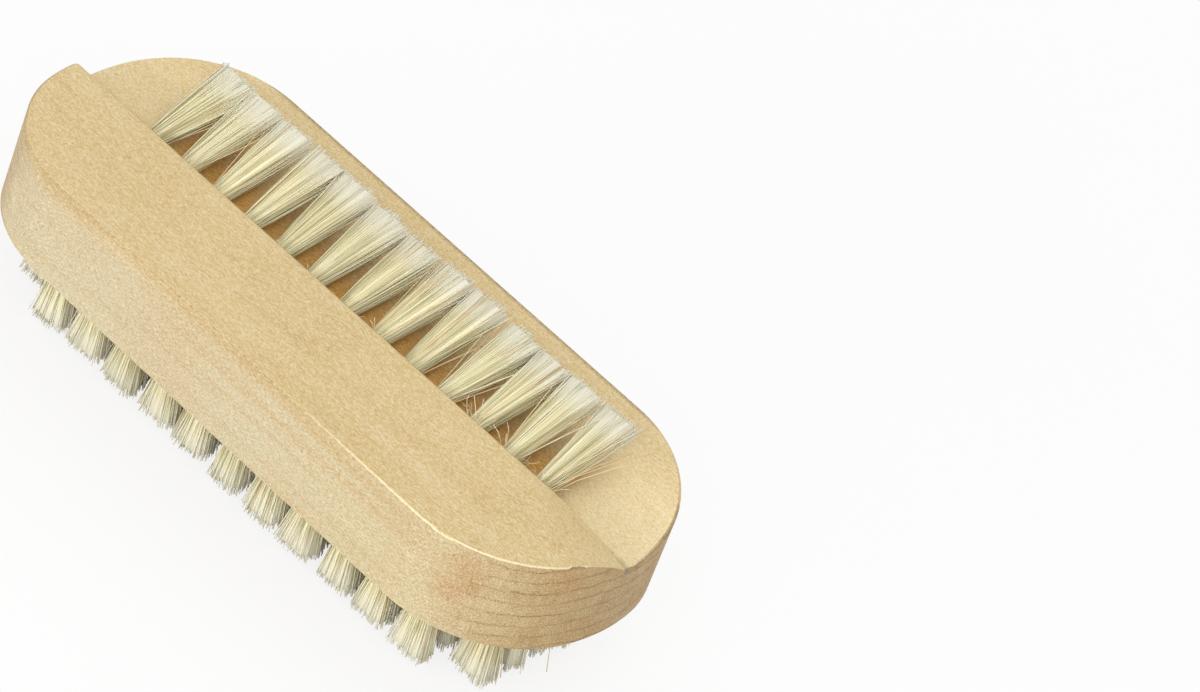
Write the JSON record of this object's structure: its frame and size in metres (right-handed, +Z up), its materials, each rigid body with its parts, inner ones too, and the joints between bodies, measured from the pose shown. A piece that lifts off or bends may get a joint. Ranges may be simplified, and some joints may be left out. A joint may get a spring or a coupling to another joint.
{
  "type": "nail brush",
  "caption": "Two-sided wooden nail brush: rounded block with rows of bristle tufts below and a row of side tufts in a groove along its back.",
  "frame": {"origin": "middle of the plane of the lower bristles' tips, under the middle of the block", "axes": "+X along the block, +Y towards the groove and its side bristles, +Z up from the tips to the back"},
  "size_m": [0.095, 0.0384, 0.029],
  "materials": {
    "wood": "matte",
    "bristle": "matte",
    "strip_metal": "satin"
  },
  "bodies": {
    "root": {"brush_block": "wood", "lower_tufts_row_1": "bristle", "lower_tufts_row_2": "bristle", "lower_tufts_row_3": "bristle", "lower_tufts_row_4": "bristle", "lower_tufts_row_5": "bristle", "lower_tufts_row_6": "bristle", "lower_strips_row_1": "strip_metal", "lower_strips_row_2": "strip_metal", "lower_strips_row_3": "strip_metal", "lower_strips_row_4": "strip_metal", "lower_strips_row_5": "strip_metal", "lower_strips_row_6": "strip_metal", "side_tuft_01": "bristle", "side_tuft_02": "bristle", "side_tuft_03": "bristle", "side_tuft_04": "bristle", "side_tuft_05": "bristle", "side_tuft_06": "bristle", "side_tuft_07": "bristle", "side_tuft_08": "bristle", "side_tuft_09": "bristle", "side_tuft_10": "bristle", "side_tuft_11": "bristle", "side_tuft_12": "bristle", "side_tuft_13": "bristle", "side_strips": "strip_metal"}
  },
  "joints": []
}
